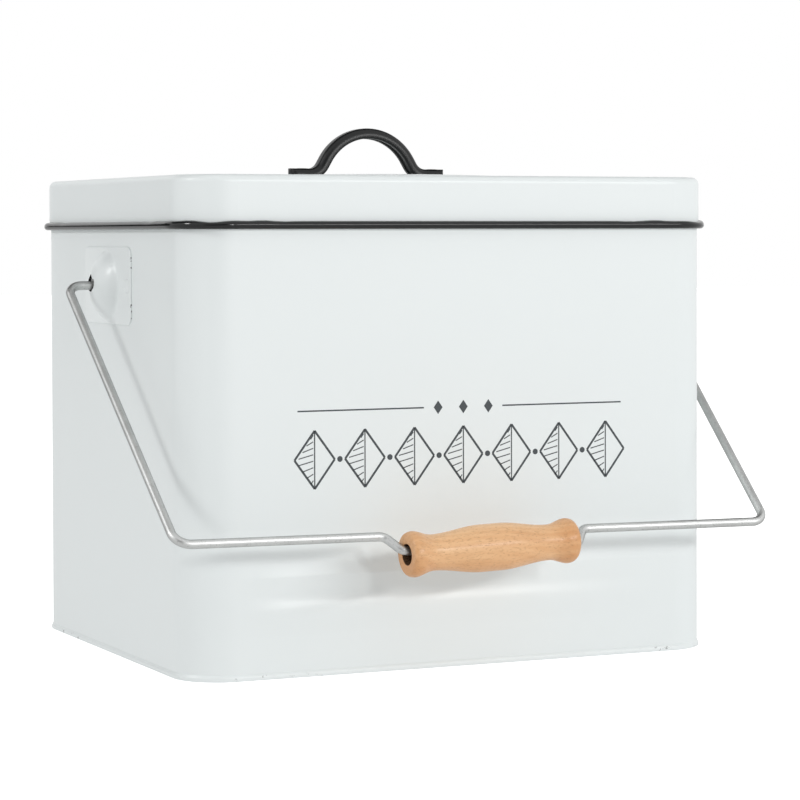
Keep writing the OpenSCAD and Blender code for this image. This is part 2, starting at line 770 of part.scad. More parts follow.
// Radius of the grip at a distance from its end: a flare, a neck and a belly joined by waves.
function wave(low, high, share) = low + (high - low) * (1 - cos(180 * share)) / 2;
flare_reach = 3;
grip_end = grip_flare / 2 - 1.6;
function grip_radius(x) =
    x < flare_reach ? grip_end + (grip_flare / 2 - grip_end) * sqrt(1 - pow(1 - x / flare_reach, 2)) :
    x < grip_neck_reach ?
        wave(grip_flare / 2, grip_neck / 2, (x - flare_reach) / (grip_neck_reach - flare_reach)) :
        wave(grip_neck / 2, grip_belly / 2, (x - grip_neck_reach) / (grip_length / 2 - grip_neck_reach));

module bail_grip() {
    edge_steps = [for (i = [0:4]) flare_reach * (1 - cos(22.5 * i))];
    wave_steps = [for (i = [1:22]) flare_reach + (grip_length / 2 - flare_reach) * i / 22];
    half = [for (x = concat(edge_steps, wave_steps)) [grip_radius(x), x - grip_length / 2]];
    other = [for (i = [len(half) - 2:-1:0]) [half[i][0], -half[i][1]]];
    centre = leaned(0, bail_reach + jog_depth);
    color(beech) in_bail_plane() translate(centre) rotate([0, 0, -bail_lean + grip_tilt])
        rotate([0, 90, 0]) difference() {
            rotate_extrude($fn = 72)
                polygon(concat([[0, -grip_length / 2]], half, other, [[0, grip_length / 2]]));
            cylinder(d = grip_bore, h = grip_length + 2, center = true);
        }
}

// ---------------------------------------------------------------- nodes

body_shell();
bottom_pan();
inner_bucket();
ear_plate(-1);  // ear_plate_left
ear_plate(1);  // ear_plate_right
ear_rivets(-1);  // ear_rivets_left
ear_rivets(1);  // ear_rivets_right
hinge_leaf_body(-1);  // hinge_leaf_body_left
hinge_leaf_body(1);  // hinge_leaf_body_right
hinge_rivets_body();
lid_shell();
lid_edging();
lid_handle();
handle_rivets();
hinge_leaf_lid(-1);  // hinge_leaf_lid_left
hinge_leaf_lid(1);  // hinge_leaf_lid_right
hinge_rivets_lid();
hinge_pin(-1);  // hinge_pin_left
hinge_pin(1);  // hinge_pin_right
filter_holder();
charcoal_pad();
filter_grille();
bail_wire();
bail_grip();
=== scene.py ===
"""Looks of a white countertop compost caddy: powder-coated sheet steel, a rolled black edging,
an enamelled strap handle, a galvanised wire bail and a turned wooden grip, built around the
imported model. All lengths are in metres."""

import math

import bpy
from mathutils import Matrix, Vector


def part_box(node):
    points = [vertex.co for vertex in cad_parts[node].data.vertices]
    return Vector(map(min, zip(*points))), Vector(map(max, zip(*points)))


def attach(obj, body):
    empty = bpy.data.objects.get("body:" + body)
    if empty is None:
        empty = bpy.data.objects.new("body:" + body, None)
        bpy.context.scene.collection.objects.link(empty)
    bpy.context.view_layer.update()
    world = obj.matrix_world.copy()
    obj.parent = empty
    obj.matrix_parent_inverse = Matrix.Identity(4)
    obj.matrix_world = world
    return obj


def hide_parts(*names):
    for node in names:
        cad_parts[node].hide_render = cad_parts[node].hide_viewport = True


bl_info = {
    "name": "Compost caddy",
    "version": (1, 0, 0),
    "blender": (4, 5, 0),
    "location": "View3D > Sidebar > Caddy",
    "description": "Models and finishes the pieces of a compost caddy",
    "category": "Object",
}

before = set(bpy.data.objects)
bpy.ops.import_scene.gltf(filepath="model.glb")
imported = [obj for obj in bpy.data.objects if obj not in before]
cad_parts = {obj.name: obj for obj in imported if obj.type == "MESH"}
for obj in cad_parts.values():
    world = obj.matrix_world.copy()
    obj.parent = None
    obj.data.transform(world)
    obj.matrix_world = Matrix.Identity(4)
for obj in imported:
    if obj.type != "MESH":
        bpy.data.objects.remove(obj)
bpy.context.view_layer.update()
lid_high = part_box("lid_shell")[1]
edging_low, edging_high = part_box("lid_edging")


# ---- sizes, colours and light


def length(name, default, description, lowest=0.0):
    return bpy.props.FloatProperty(
        name=name, description=description, default=default, min=lowest, precision=5,
        subtype="DISTANCE", unit="LENGTH")


def angle(name, degrees, description):
    return bpy.props.FloatProperty(
        name=name, description=description, default=math.radians(degrees),
        subtype="ANGLE", unit="ROTATION")


def colour(name, default, description):
    return bpy.props.FloatVectorProperty(
        name=name, description=description, default=default, size=3, min=0.0, max=1.0,
        subtype="COLOR")


def amount(name, default, description, top=10.0):
    return bpy.props.FloatProperty(
        name=name, description=description, default=default, min=0.0, max=top)


class CaddyBailSizes(bpy.types.PropertyGroup):
    wire: length("Wire", 0.0037, "Diameter of the bail's wire")
    pivot_height: length("Pivot height", 0.1574, "Height of the pivot above the resting face")
    pivot_back: length("Pivot back", 0.001, "How far behind the middle the pivot lies")
    inner_end: length("Inner end", 0.1256, "Distance of the wire's end from the middle")
    half_top: length("Upper half width", 0.1384, "Distance of an arm from the middle, at the pivot")
    half_bottom: length("Lower half width", 0.1321, "Distance of an arm from the middle, below")
    reach: length("Reach", 0.1605, "Distance from the pivot to the crossbar")
    ear_bend: length("Bend at the ears", 0.0062, "Bend radius at the ears")
    arm_bend: length("Bend at the crossbar", 0.007, "Bend radius at the crossbar's ends")
    step: length("Step", 0.0086, "How far the crossbar steps out at the grip")
    step_slant: angle("Step slant", 58, "Slant of the step from the crossbar")
    step_bend: length("Bend of the step", 0.0045, "Bend radius at the step")
    lean: angle("Lean", 0.8, "Sideways lean of the hand-bent crossbar")
    rest: angle("Rest", 51.6, "Angle between the hanging bail and straight down")


class CaddyGripSizes(bpy.types.PropertyGroup):
    long: length("Length", 0.0755, "Length of the grip")
    belly: length("Belly", 0.0192, "Diameter of the grip's belly")
    flare: length("Flare", 0.0185, "Diameter of the grip's flared ends")
    neck: length("Neck", 0.0146, "Diameter of the grip's necks")
    neck_reach: length("Neck reach", 0.0115, "Distance from an end to its neck")
    bore: length("Bore", 0.0082, "Diameter of the bore")
    tilt: angle("Tilt", 3.3, "Slant of the loose grip on its wire")
    aside: length("Aside", -0.0006, "How far the loose grip has slid along its wire", -0.01)


class CaddyStrapSizes(bpy.types.PropertyGroup):
    long: length("Length", 0.0734, "Length over both feet")
    wide: length("Width", 0.0086, "Width of the strap")
    depth: length("Depth", 0.0046, "Depth of the strap's channel section")
    hollow: length("Hollow", 0.0006, "Depth of the channel along the strap's underside")
    flange: length("Flange", 0.0025, "Width of each of the strap's rounded flanges")
    bow: length("Bow", 0.0254, "Outer radius of the bow")
    bow_centre: length("Bow centre", 0.2006, "Height of the bow's centre")
    slope: angle("Slope", 60, "Slope of the legs")
    foot_top: length("Foot top", 0.2080, "Height of the feet's upper face")
    foot_under: length("Foot underside", 0.2051, "Height of the feet's lower face")
    heel: length("Heel", 0.005, "Radius between a foot and its leg")
    foot_corner: length("Foot corner", 0.003, "Corner radius of a foot")


class CaddyEarSizes(bpy.types.PropertyGroup):
    plate_long: length("Plate length", 0.062, "Length of an ear plate from front to back")
    plate_high: length("Plate height", 0.033, "Height of an ear plate")
    corner: length("Corner", 0.0045, "Corner radius of an ear plate")
    sheet: length("Sheet", 0.0006, "Thickness of an ear plate")
    dome: length("Dome", 0.030, "Diameter of the dome's foot")
    dome_rise: length("Dome rise", 0.0076, "Height of the dome above its plate")
    hole: length("Hole", 0.0052, "Diameter of the wire hole")


class CaddyWallSizes(bpy.types.PropertyGroup):
    wide: length("Width", 0.240, "Width of the body")
    deep: length("Depth", 0.200, "Depth of the body")
    corner: length("Corner", 0.0205, "Radius of the body's upright corners")
    sheet: length("Sheet", 0.0005, "Thickness of the body's steel")
    shoulder: length("Shoulder", 0.1811, "Height at which the neck is drawn in")
    neck: length("Neck", 0.00155, "How far the neck is drawn in")
    mouth: length("Mouth", 0.20245, "Height of the mouth")
    hem: length("Hem", 0.0016, "Diameter of the rolled hem at the mouth")
    rib_rise: length("Rib rise", 0.0009, "How far a rib is pressed out")
    seam_high: length("Seam height", 0.0027, "Height of the fold round the foot")
    seam_proud: length("Seam outset", 0.0007, "How far the fold stands out of the wall")
    floor: length("Floor", 0.0037, "Height of the base's upper face")


class CaddyColours(bpy.types.PropertyGroup):
    powder: colour("Powder coat", (0.80, 0.842, 0.842), "White powder coat of the sheet steel")
    # This colour serves both for chips and scuffs in the coat and for the painted shade round the
    # ears' rivets.
    chip_and_shade: colour("Chip", (0.10, 0.10, 0.10), "Bare and dirty steel where the coat is chipped")
    enamel: colour("Enamel", (0.009, 0.0095, 0.010), "Black enamel of the edging and handle")
    zinc: colour("Zinc", (0.70, 0.71, 0.70), "Galvanised wire")
    steel: colour("Steel", (0.55, 0.55, 0.54), "Bright steel of the pins and rivets")
    beech: colour("Beech", (0.85, 0.53, 0.28), "Light wood of the grip")
    beech_dark: colour("Dark grain", (0.66, 0.33, 0.14), "Late wood and pores of the grip")
    ink: colour("Ink", (0.045, 0.053, 0.058), "Dark grey print on the front")
    liner: colour("Liner", (0.46, 0.48, 0.49), "Grey plastic of the liner")
    filter: colour("Filter", (0.02, 0.02, 0.022), "Black plastic of the filter holder")
    felt: colour("Felt", (0.012, 0.012, 0.012), "Charcoal felt")
    # Painted shade: far darker than raw beech, this stands in for the shade inside the grip's bore.
    bore: colour("Bore", (0.055, 0.028, 0.014), "Raw wood in the grip's bore")
    # Painted shade: this near-black colour stands in for the shade inside the ears' domes, seen
    # through the wire holes.
    hollow: colour("Hollow", (0.002, 0.002, 0.002), "Darkness behind a wire hole")
    cloth: colour("Cloth", (0.01, 0.01, 0.01), "Black cloth that shades the stage")


class CaddyLight(bpy.types.PropertyGroup):
    surround: amount("Surround", 0.63, "Strength of the even light from all around")
    glow: amount("Glow", 0.37, "Strength of the light that the floor gives off")
    front: amount("Front", 4.9, "Power of the lamp before the caddy", 100)
    left: amount("Left", 10.8, "Power of the lamp on the left", 100)
    right: amount("Right", 9.6, "Power of the strip lamp on the right", 100)


# ---- shader maths


class Socket:
    """A node socket on which maths can be written as an expression."""

    def __init__(self, finish, link):
        self.finish = finish
        self.link = link

    def maths(self, operation, first, second=0.0):
        return self.finish.node("ShaderNodeMath", {"operation": operation}, {0: first, 1: second})

    def __add__(self, other):
        return self.maths("ADD", self, other)

    __radd__ = __add__

    def __sub__(self, other):
        return self.maths("SUBTRACT", self, other)

    def __rsub__(self, other):
        return self.maths("SUBTRACT", other, self)

    def __mul__(self, other):
        return self.maths("MULTIPLY", self, other)

    __rmul__ = __mul__

    def __pow__(self, other):
        return self.maths("POWER", self, other)

    def __abs__(self):
        return self.maths("ABSOLUTE", self)

    def sine(self):
        return self.maths("SINE", self)

    def between(self, low, high):
        """A smooth step from 0 at low to 1 at high."""
        return self.finish.node(
            "ShaderNodeMapRange", {"interpolation_type": "SMOOTHSTEP"}, {0: self, 1: low, 2: high})


class Finish:
    """A procedural material. Its nodes are made by one method and joined by expressions."""

    def __init__(self, name, **fixed):
        self.material = bpy.data.materials.new(name)
        self.material.use_nodes = True
        self.tree = self.material.node_tree
        self.shader = self.tree.nodes["Principled BSDF"]
        self.set(**fixed)

    def node(self, kind, settings=None, inputs=None, output=0):
        made = self.tree.nodes.new(kind)
        for name, value in (settings or {}).items():
            setattr(made, name, value)
        for place, value in (inputs or {}).items():
            self.feed(made.inputs[place], value)
        return Socket(self, made.outputs[output])

    def feed(self, socket, value):
        if isinstance(value, Socket):
            self.tree.links.new(value.link, socket)
        elif socket.type == "RGBA":
            socket.default_value = (*value, 1)
        else:
            socket.default_value = value

    def set(self, **inputs):
        """Feeds the shader's sockets, named with _ in place of spaces."""
        for name, value in inputs.items():
            self.feed(self.shader.inputs[name.replace("_", " ")], value)

    def place(self, centre=(0, 0, 0), turn=(0, 0, 0), scale=(1, 1, 1)):
        """Object coordinates, turned and stretched about a centre."""
        raw = self.node("ShaderNodeTexCoord", output="Object")
        moved = self.node("ShaderNodeVectorMath", {"operation": "SUBTRACT"}, {0: raw, 1: centre})
        return self.node(
            "ShaderNodeMapping", {}, {"Vector": moved, "Rotation": turn, "Scale": scale})

    def axes(self, vector):
        """The three numbers of a vector."""
        split = self.node("ShaderNodeSeparateXYZ", {}, {0: vector})
        return [Socket(self, out) for out in split.link.node.outputs]

    def noise(self, vector, scale, detail, roughness=0.5, distortion=0.0):
        return self.node("ShaderNodeTexNoise", {}, {
            "Vector": vector, "Scale": scale, "Detail": detail, "Roughness": roughness,
            "Distortion": distortion})

    def cells(self, vector, scale):
        """The distance to the nearest of the points that are strewn about."""
        return self.node("ShaderNodeTexVoronoi", {}, {"Vector": vector, "Scale": scale}, "Distance")

    def mix(self, share, first, second):
        """A colour that goes from the first to the second."""
        return self.node("ShaderNodeMix", {"data_type": "RGBA"}, {0: share, 6: first, 7: second}, 2)

    def bump(self, height, distance, strength):
        return self.node(
            "ShaderNodeBump", {}, {"Height": height, "Distance": distance, "Strength": strength})


def toned(tone, factor):
    """A colour made darker or lighter."""
    return tuple(min(factor * channel, 1) for channel in tone)


def powder_coat(name, tone, chip_and_shade, chipped=None):
    """Satin powder coat: fine orange peel, faint clouding and, where a mask says so, a dark colour
    that stands for chips and scuffs and, round the ear's rivet, for painted shade.
    """
    coat = Finish(name, IOR=1.5, Coat_Weight=0.2, Coat_Roughness=0.18)
    where = coat.place()
    cloud = coat.noise(where, 26, 3, 0.6)
    speckle = coat.noise(where, 900, 2)
    shade = coat.mix(cloud, toned(tone, 0.985), tone)
    peel = coat.noise(where, 620, 2, 0.5) + 0.5 * coat.noise(where, 170, 1)
    coat.set(Roughness=0.36 + 0.07 * cloud + 0.05 * speckle, Normal=coat.bump(peel, 0.00002, 0.55))
    if chipped:
        shade = coat.mix(chipped(coat, where), shade, chip_and_shade)
    coat.set(Base_Color=shade)
    return coat.material


def seam_chips(coat, where):
    """Small dark scuffs along the foot's seam."""
    height = coat.axes(where)[2]
    low = 1 - height.between(0.0010, 0.0026)
    spots = coat.noise(where, 330, 3, 0.7).between(0.62, 0.66)
    patches = coat.noise(where, 14, 1).between(0.45, 0.58)
    return low * spots * patches


def ear_dashes_and_rivet_shade(coat, where):
    """Short dark dashes along the plate's front edge near its corners, and painted shade in a thin
    line round its rivet.
    """
    along, height = coat.axes(where)[1:]
    above = height - 0.1574
    front = 1 - abs(along + 0.0299).between(0.0001, 0.0003)
    breaks = coat.noise(where, 900, 1, 0.5).between(0.54, 0.58)
    ends = abs(above).between(0.0065, 0.0080)
    # Painted shade: a thin darker line where the rivet's head meets the plate.
    from_rivet = ((along + 0.0255) ** 2 + above ** 2) ** 0.5
    ring = 1 - abs(from_rivet - 0.0029).between(0.00005, 0.00022)
    return front * breaks * ends + 0.16 * ring


def black_enamel(name, tone, roughness):
    """Black stoving enamel, a little uneven."""
    coat = Finish(name, IOR=1.5, Specular_IOR_Level=0.34)
    where = coat.place()
    cloud = coat.noise(where, 60, 3)
    peel = coat.noise(where, 300, 2) + 0.4 * coat.noise(where, 1100, 1)
    coat.set(
        Base_Color=coat.mix(cloud, tone, toned(tone, 1.5)),
        Roughness=roughness + 0.06 * cloud, Normal=coat.bump(peel, 0.00001, 0.5))
    return coat.material


def galvanised(name, tone):
    """Drawn and galvanised wire: dull zinc with fine draw lines, spangle and a few dark nicks."""
    # Painted shade: the grey specular tint darkens the wire's reflections at grazing angles, in
    # place of darker surroundings.
    zinc = Finish(name, Metallic=1.0, Specular_Tint=(0.45, 0.45, 0.45))
    where = zinc.place()
    lines = zinc.noise(zinc.place(scale=(0.06, 1, 1)), 2600, 2)
    spangle = zinc.cells(where, 420)
    cloud = zinc.noise(where, 90, 4, 0.65)
    nicks = zinc.noise(where, 1500, 2, 0.7).between(0.60, 0.68)
    tone = zinc.mix(cloud, toned(tone, 0.68), toned(tone, 1.02))
    zinc.set(
        Base_Color=zinc.mix(0.40 * nicks, tone, (0.16, 0.16, 0.155)),
        Roughness=0.36 + 0.10 * cloud + 0.05 * spangle,
        Normal=zinc.bump(lines + 0.6 * spangle, 0.00002, 0.5))
    return zinc.material


def grained(name, first, second, scale, roughness, uneven,
            height=0.00001, strength=0.5, clouds=None, **fixed):
    """A fine even grain, with two tones that follow it or clouds of their own."""
    plain = Finish(name, **fixed)
    where = plain.place()
    grain = plain.noise(where, scale, 2)
    plain.set(
        Base_Color=plain.mix(plain.noise(where, clouds, 2) if clouds else grain, first, second),
        Roughness=roughness + uneven * grain, Normal=plain.bump(grain, height, strength))
    return plain.material


def turned_beech(name, light, dark, centre):
    """Lacquered beech: growth rings cut by the turning, rays, short dark pores and tool rings, and
    painted shade that darkens its underside.
    """
    wood = Finish(name, IOR=1.48, Specular_IOR_Level=0.35, Coat_Weight=0.35, Coat_Roughness=0.24)
    slant = (0.10, 0.05, 0.14)
    heart = (centre[0], centre[1] + 0.021, centre[2] + 0.034)

    def drawn(stretch):
        return wood.place(centre, slant, (stretch, 1, 1))

    along = drawn(0.10)
    deep, high = wood.axes(wood.place(heart, slant))[1:]
    reach = (deep * deep + high * high) ** 0.5
    drift = wood.noise(along, 120, 2)
    growth = ((reach + 0.0016 * drift) * (2 * math.pi / 0.0026)).sine() * 0.5 + 0.5
    streak = wood.noise(along, 900, 3, 0.6)
    blotch = wood.noise(along, 95, 2)
    pores = wood.noise(drawn(0.30), 2300, 1).between(0.60, 0.70)
    flecks = wood.noise(drawn(0.22), 1300, 1, 0.4).between(0.60, 0.70)
    tool = wood.axes(drawn(1))[0]
    ends = abs(tool).between(0.022, 0.036)
    # Painted shade: the grip's lower side is made darker, as if less light reached it from below.
    below = 1 - wood.axes(wood.place(centre))[2].between(-0.0085, 0.001)
    share = (0.20 * growth + 0.40 * streak + 0.50 * blotch.between(0.35, 0.75)
             + 0.50 * ends + 0.55 * below - 0.22)
    tone = wood.mix(share, light, dark)
    tone = wood.mix(0.28 * pores, tone, toned(dark, 0.50))
    tone = wood.mix(0.24 * flecks, tone, toned(dark, 0.70))
    marks = (tool * (2 * math.pi / 0.0011)).sine() * 0.5 + 0.5
    wood.set(
        Base_Color=tone, Roughness=0.38 + 0.14 * streak + 0.2 * pores,
        Normal=wood.bump(0.7 * streak + 0.25 * marks - 1.2 * pores, 0.00011, 0.7))
    return wood.material


# Charcoal felt and cloth; also the near-black painted shade inside the ears and the grip's bore.
def felt_and_painted_shade(name, tone):
    felt = Finish(name, Roughness=0.95, Specular_IOR_Level=0.2)
    where = felt.place()
    fibres = felt.noise(where, 700, 5, 0.75, 1.5)
    felt.set(
        Base_Color=felt.mix(fibres.between(0.35, 0.7), tone, toned(tone, 3.5)),
        Normal=felt.bump(fibres, 0.0004, 0.8))
    return felt.material


def finishes():
    """The finish of each material slot and of the pieces that differ from their slot."""
    tones = bpy.context.scene.caddy_colours
    made = {}

    def keep(key, make, *values, **fixed):
        name = "caddy_" + key
        made[key] = bpy.data.materials.get(name) or make(name, *values, **fixed)

    white, chip_and_shade = tuple(tones.powder), tuple(tones.chip_and_shade)
    steel, ink, liner, dark = (
        tuple(tone) for tone in (tones.steel, tones.ink, tones.liner, tones.filter))
    plastic = {"height": 0.00004, "clouds": 30, "IOR": 1.49}
    grip_low, grip_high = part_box("bail_grip")
    keep("white_coat", powder_coat, white, chip_and_shade)
    keep("seam_coat", powder_coat, white, chip_and_shade, seam_chips)
    # The ears' coat is darkened in a thin line round each rivet: painted shade.
    keep("ear_coat", powder_coat, white, chip_and_shade, ear_dashes_and_rivet_shade)
    keep("black_enamel", black_enamel, tuple(tones.enamel), 0.07)
    # Painted shade: the strap gets a darker copy of the edging's enamel, to match how dark it
    # looks; its rougher finish is its own.
    keep("strap_enamel", black_enamel, toned(tones.enamel, 0.6), 0.30)
    keep("galvanised_wire", galvanised, tuple(tones.zinc))
    keep("bright_steel", grained, toned(steel, 0.85), steel, 1500, 0.24, 0.18, Metallic=1.0)
    keep("beech", turned_beech, tuple(tones.beech), tuple(tones.beech_dark),
         tuple((grip_low + grip_high) / 2))
    keep("bore_wood", felt_and_painted_shade, tuple(tones.bore))
    keep("liner_plastic", grained, toned(liner, 0.94), liner, 1400, 0.42, 0.10, **plastic)
    keep("filter_plastic", grained, toned(dark, 0.94), dark, 1400, 0.38, 0.10, **plastic)
    keep("charcoal", felt_and_painted_shade, tuple(tones.felt))
    keep("printed_ink", grained, ink, toned(ink, 1.35), 1600, 0.46, 0.10, strength=0.4, IOR=1.45)
    keep("dark_inside", felt_and_painted_shade, tuple(tones.hollow))
    return made


# ---- modelling helpers


def mode(name):
    bpy.ops.object.mode_set(mode=name)


def deselect():
    if bpy.context.object and bpy.context.object.mode != "OBJECT":
        mode("OBJECT")
    bpy.ops.object.select_all(action="DESELECT")


def alone(piece):
    deselect()
    piece.select_set(True)
    bpy.context.view_layer.objects.active = piece


def aimed(place, target, axis):
    """The turn that points an axis from a place at a target."""
    return (Vector(target) - Vector(place)).to_track_quat(axis, "Y").to_euler()


def outline(points, place, fill="NGON"):
    """A filled or open outline: a circle primitive whose corners are moved onto the points."""
    deselect()
    bpy.ops.mesh.primitive_circle_add(vertices=len(points), radius=0.01, fill_type=fill)
    piece = bpy.context.object
    for vertex, point in zip(piece.data.vertices, points):
        vertex.co = place(*point)
    return piece


def open_mesh(piece):
    """Opens a piece's mesh with all of it selected."""
    alone(piece)
    mode("EDIT")
    bpy.ops.mesh.select_all(action="SELECT")


def carry(piece, moves):
    """Carries the outline along straight runs and bends, given one after the other."""
    open_mesh(piece)
    for move in moves:
        if len(move) == 1:
            bpy.ops.mesh.extrude_region_move(TRANSFORM_OT_translate={"value": move[0]})
        else:
            steps, turn, centre, axis = move
            bpy.ops.mesh.spin(steps=steps, angle=-turn, center=centre, axis=axis)
    tidy_mesh(piece)


def tidy_mesh(piece):
    """Merges doubles and points every face outwards."""
    open_mesh(piece)
    bpy.ops.mesh.remove_doubles(threshold=0.000001)
    bpy.ops.mesh.normals_make_consistent(inside=False)
    mode("OBJECT")


def slab(points, place, move):
    """A plate: an outline carried once."""
    piece = outline(points, place)
    carry(piece, [(move,)])
    return piece


def take_out(piece, level, kind, parts, chosen):
    """Deletes the edges or faces that are chosen."""
    open_mesh(piece)
    bpy.ops.mesh.select_mode(type=level)
    bpy.ops.mesh.select_all(action="DESELECT")
    mode("OBJECT")
    for part in parts:
        part.select = chosen(part)
    mode("EDIT")
    bpy.ops.mesh.delete(type=kind)
    bpy.ops.mesh.select_mode(type="VERT")


def spun(profile, place, centre, axis, steps, closed=False):
    """A turned surface: a line of vertices spun once round an axis."""
    piece = outline(profile, place, "NOTHING")
    if not closed:
        ends = {0, len(profile) - 1}
        take_out(piece, "EDGE", "EDGE", piece.data.edges, lambda edge: set(edge.vertices) == ends)
    open_mesh(piece)
    bpy.ops.mesh.spin(steps=steps, angle=2 * math.pi, center=centre, axis=axis)
    tidy_mesh(piece)
    return piece


def modify(piece, kind, **settings):
    """Adds a modifier, sets it and applies it."""
    alone(piece)
    modifier = piece.modifiers.new(kind.title(), kind)
    for name, value in settings.items():
        setattr(modifier, name, value)
    bpy.ops.object.modifier_apply(modifier=modifier.name)


def bevel(piece, width, segments, degrees):
    """Rounds the edges that are sharper than an angle."""
    modify(piece, "BEVEL", width=width, segments=segments, limit_method="ANGLE",
           angle_limit=math.radians(degrees))


def cut(piece, tool, operation):
    """Keeps or removes what the tool covers, and deletes the tool."""
    modify(piece, "BOOLEAN", object=tool, operation=operation, solver="EXACT")
    bpy.data.objects.remove(tool)


def smooth(piece, degrees):
    alone(piece)
    bpy.ops.object.shade_smooth_by_angle(angle=math.radians(degrees))


def join(first, *others):
    alone(first)
    for piece in others:
        piece.select_set(True)
    bpy.ops.object.join()
    return first


def wear(piece, *keys):
    """Adds finishes to a piece, by their keys."""
    made = finishes()
    for key in keys:
        piece.data.materials.append(made[key])


def settle(piece, name, body, slot, finish, *nodes):
    """Names a finished piece, gives it its finish and says what it rides on and stands for."""
    deselect()
    piece.name = piece.data.name = name
    if finish:
        piece.data.materials.clear()
        wear(piece, finish)
    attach(piece, body)
    if nodes:
        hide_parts(*nodes)


def arc(centre, radius, start, end, steps):
    """Points on an arc in a plane, in degrees."""
    points = []
    for i in range(steps + 1):
        turn = math.radians(start + (end - start) * i / steps)
        points.append((centre[0] + radius * math.cos(turn), centre[1] + radius * math.sin(turn)))
    return points


def rounded_plan(width, depth, radius, steps):
    """The corners of a rectangle with round corners, anticlockwise."""
    points = []
    for turn, (x, y) in enumerate([(1, 1), (-1, 1), (-1, -1), (1, -1)]):
        centre = (x * (width / 2 - radius), y * (depth / 2 - radius))
        points += arc(centre, radius, 90 * turn, 90 * turn + 90, steps)
    return points


def bent_path(corners, bends, fine=math.radians(5)):
    """Points along a line whose corners are rounded to the given radii."""
    points = [corners[0]]
    for before, corner, after, bend in zip(corners, corners[1:], corners[2:], bends):
        into, out = (corner - before).normalized(), (after - corner).normalized()
        turn = math.atan2(into.x * out.y - into.y * out.x, into.dot(out))
        start = corner - into * bend * math.tan(abs(turn) / 2)
        side = math.copysign(1, turn)
        centre = start + bend * side * Vector((-into.y, into.x))
        steps = max(4, round(abs(turn) / fine))
        for i in range(steps + 1):
            points.append(centre + Matrix.Rotation(turn * i / steps, 2) @ (start - centre))
    return points + [corners[-1]]


def course(corner, start, short, side, front, turns):
    """Moves from the back once round the plan, from start on one side to start on the other."""
    def run(x, y, steps):
        return [((x / steps, y / steps, 0),)] * steps

    def bend(x, y):
        return turns, math.pi / 2, (x * corner[0], y * corner[1], 0), (0, 0, 1)

    return [
        *run(start - corner[0], 0, short), bend(-1, 1), *run(0, -2 * corner[1], side), bend(-1, -1),
        *run(2 * corner[0], 0, front), bend(1, -1), *run(0, 2 * corner[1], side), bend(1, 1),
        *run(start - corner[0], 0, short)]


def swept_round(section, half_x, half_y, radius, steps):
    """A section carried once round a rectangle with round corners, closed into a ring."""
    ring = outline(section, lambda out, high: Vector((0, half_y + out, high)))
    carry(ring, course((half_x - radius, half_y - radius), 0, steps // 2, 6, steps, 20))
    take_out(ring, "FACE", "ONLY_FACE", ring.data.polygons, lambda face: len(face.vertices) > 6)
    tidy_mesh(ring)
    return ring


def ease(share):
    """A slow start and a slow end between 0 and 1."""
    share = min(max(share, 0), 1)
    return share * share * (3 - 2 * share)


# ---- pieces


